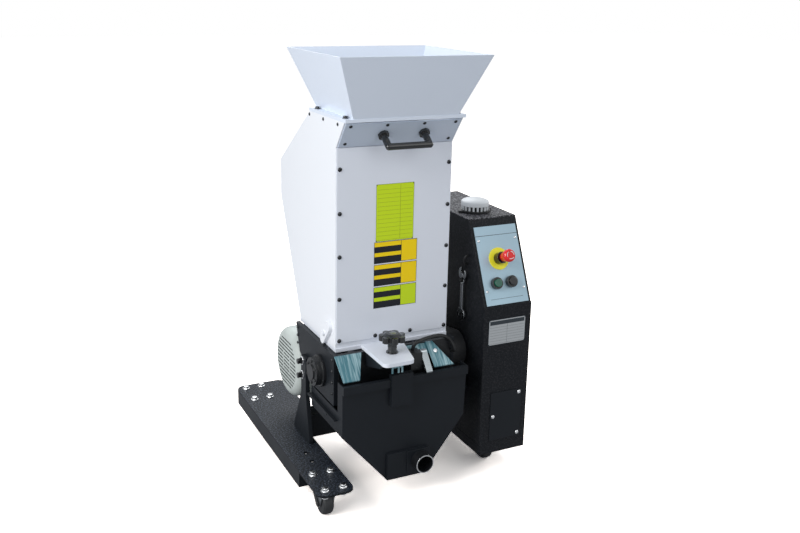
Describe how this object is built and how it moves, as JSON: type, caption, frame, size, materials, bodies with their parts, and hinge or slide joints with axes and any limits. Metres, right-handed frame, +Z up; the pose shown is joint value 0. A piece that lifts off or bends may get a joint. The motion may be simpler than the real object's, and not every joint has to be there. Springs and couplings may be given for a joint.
{
  "type": "plastic granulator",
  "caption": "Beside-the-press granulator: tilting feed hopper over a claw-rotor cutting chamber, pull-out bin with pipe outlet, gear motor and side control box on casters.",
  "frame": {"origin": "centre of the footprint, on the floor", "axes": "+X to the machine's right seen from its front, +Y to its back, +Z up"},
  "size_m": [0.643, 0.7, 1.15],
  "materials": {
    "black_steel": "textured black powder coat",
    "white_steel": "satin white powder coat",
    "funnel_white": "satin white powder coat",
    "zinc": "zinc plated sheet",
    "bolt_steel": "zinc plated",
    "screw_black": "black oxide",
    "cast_dark": "machined and blacked",
    "tool_steel": "ground tool steel",
    "motor_green": "light grey-green enamel",
    "gear_black": "black enamel",
    "black_plastic": "moulded black",
    "cable_black": "black sheath",
    "plate_aluminium": "anodised light blue grey",
    "name_silver": "brushed",
    "yellow": "gloss",
    "red": "gloss",
    "green": "gloss",
    "button_black": "gloss",
    "chrome": "polished",
    "vent_white": "moulded white",
    "caster_zinc": "zinc plated",
    "wheel_rubber": "grey-black rubber",
    "pedal_black": "moulded black"
  },
  "bodies": {
    "frame": {"side_beam": "black_steel", "beam_plate": "black_steel", "frame_bolts": "bolt_steel", "cross_member": "black_steel", "upright": "black_steel", "chamber_sides": "cast_dark", "chamber_walls": "cast_dark", "chute_plates": "zinc", "lock_bracket": "black_steel", "interlock_switch": "black_plastic", "switch_cable": "cable_black", "bearing_housings": "cast_dark", "end_cap": "cast_dark", "fixed_knives": "tool_steel", "comb_bars": "tool_steel", "gearbox": "gear_black", "motor_body": "motor_green", "fan_cowl": "motor_green", "hinge_brackets": "cast_dark", "bin_rails": "black_steel", "control_box": "black_steel", "control_plate": "plate_aluminium", "estop_ring": "yellow", "button_collars": "black_plastic", "nameplate": "name_silver", "service_hatch": "black_steel", "wrench_hook": "screw_black", "vent_base": "black_plastic", "vent_cap": "vent_white", "caster_plates": "caster_zinc", "caster_fork_2": "caster_zinc", "caster_fork_4": "caster_zinc"},
    "rotor": {"rotor_shaft": "tool_steel", "rotor_cutters": "tool_steel"},
    "fan": {"cooling_fan": "black_plastic"},
    "hopper": {"hopper_throat": "white_steel", "front_cover": "white_steel", "sloped_panel": "funnel_white", "pull_handle": "black_plastic", "feed_funnel": "funnel_white", "hopper_screws": "screw_black", "side_arms": "white_steel", "throat_sides": "white_steel"},
    "knob": {"star_knob": "black_plastic"},
    "bin": {"bin_shell": "black_steel", "outlet_plate": "zinc", "outlet_pipe": "zinc"},
    "lever": {"latch_lever": "chrome"},
    "estop": {"estop_head": "red"},
    "start": {"start_button": "green"},
    "stop": {"stop_button": "button_black"},
    "spanner": {"wrench": "chrome"},
    "wheel_1": {"caster_wheel_1": "wheel_rubber"},
    "caster_1": {"caster_fork_1": "caster_zinc"},
    "pedal_1": {"brake_pedal_1": "pedal_black"},
    "wheel_2": {"caster_wheel_2": "wheel_rubber"},
    "wheel_3": {"caster_wheel_3": "wheel_rubber"},
    "caster_3": {"caster_fork_3": "caster_zinc"},
    "pedal_3": {"brake_pedal_3": "pedal_black"},
    "wheel_4": {"caster_wheel_4": "wheel_rubber"}
  },
  "joints": [
    {"name": "hopper_tilt", "type": "hinge", "parent": "frame", "child": "hopper", "pos_m": [-0.0635, 0.058, 0.395], "axis": [-1, 0, 0], "range_deg": [0, 55]},
    {"name": "knob_turn", "type": "hinge", "parent": "hopper", "child": "knob", "pos_m": [-0.1005, -0.285, 0.417], "axis": [0, 0, 1], "continuous": true},
    {"name": "rotor_spin", "type": "hinge", "parent": "frame", "child": "rotor", "pos_m": [-0.0635, -0.14, 0.335], "axis": [1, 0, 0], "continuous": true},
    {"name": "fan_spin", "type": "hinge", "parent": "frame", "child": "fan", "pos_m": [-0.0635, 0.116, 0.259], "axis": [1, 0, 0], "continuous": true},
    {"name": "bin_slide", "type": "slide", "parent": "frame", "child": "bin", "axis": [0, -1, 0], "range_m": [0, 0.23]},
    {"name": "lever_swing", "type": "hinge", "parent": "frame", "child": "lever", "pos_m": [0.0015, -0.255, 0.391], "axis": [-1, 0, 0], "range_deg": [0, 100]},
    {"name": "estop_press", "type": "slide", "parent": "frame", "child": "estop", "axis": [0, 0.9129, -0.4081], "range_m": [0, 0.0037], "stiffness_N_per_m": 1200},
    {"name": "start_press", "type": "slide", "parent": "frame", "child": "start", "axis": [0, 0.9129, -0.4081], "range_m": [0, 0.0035], "stiffness_N_per_m": 800},
    {"name": "stop_press", "type": "slide", "parent": "frame", "child": "stop", "axis": [0, 0.9129, -0.4081], "range_m": [0, 0.0035], "stiffness_N_per_m": 800},
    {"name": "spanner_swing", "type": "hinge", "parent": "frame", "child": "spanner", "pos_m": [0.1685, -0.16, 0.537], "axis": [1, 0, 0], "range_deg": [-25, 25]},
    {"name": "caster_swivel_1", "type": "hinge", "parent": "frame", "child": "caster_1", "pos_m": [-0.2725, -0.284, 0.081], "axis": [0, 0, 1], "continuous": true},
    {"name": "wheel_roll_1", "type": "hinge", "parent": "caster_1", "child": "wheel_1", "pos_m": [-0.2725, -0.264, 0.0315], "axis": [1, 0, 0], "continuous": true},
    {"name": "brake_1", "type": "hinge", "parent": "caster_1", "child": "pedal_1", "pos_m": [-0.2725, -0.264, 0.0315], "axis": [1, 0, 0], "range_deg": [-18, 0]},
    {"name": "wheel_roll_2", "type": "hinge", "parent": "frame", "child": "wheel_2", "pos_m": [-0.2725, 0.304, 0.0315], "axis": [1, 0, 0], "continuous": true},
    {"name": "caster_swivel_3", "type": "hinge", "parent": "frame", "child": "caster_3", "pos_m": [0.2485, -0.197, 0.081], "axis": [0, 0, 1], "continuous": true},
    {"name": "wheel_roll_3", "type": "hinge", "parent": "caster_3", "child": "wheel_3", "pos_m": [0.2485, -0.177, 0.0315], "axis": [1, 0, 0], "continuous": true},
    {"name": "brake_3", "type": "hinge", "parent": "caster_3", "child": "pedal_3", "pos_m": [0.2485, -0.177, 0.0315], "axis": [1, 0, 0], "range_deg": [-18, 0]},
    {"name": "wheel_roll_4", "type": "hinge", "parent": "frame", "child": "wheel_4", "pos_m": [0.2485, 0.097, 0.0315], "axis": [1, 0, 0], "continuous": true}
  ],
  "couplings": [
    {"joint": "fan_spin", "follows": "rotor_spin", "ratio": 10}
  ]
}
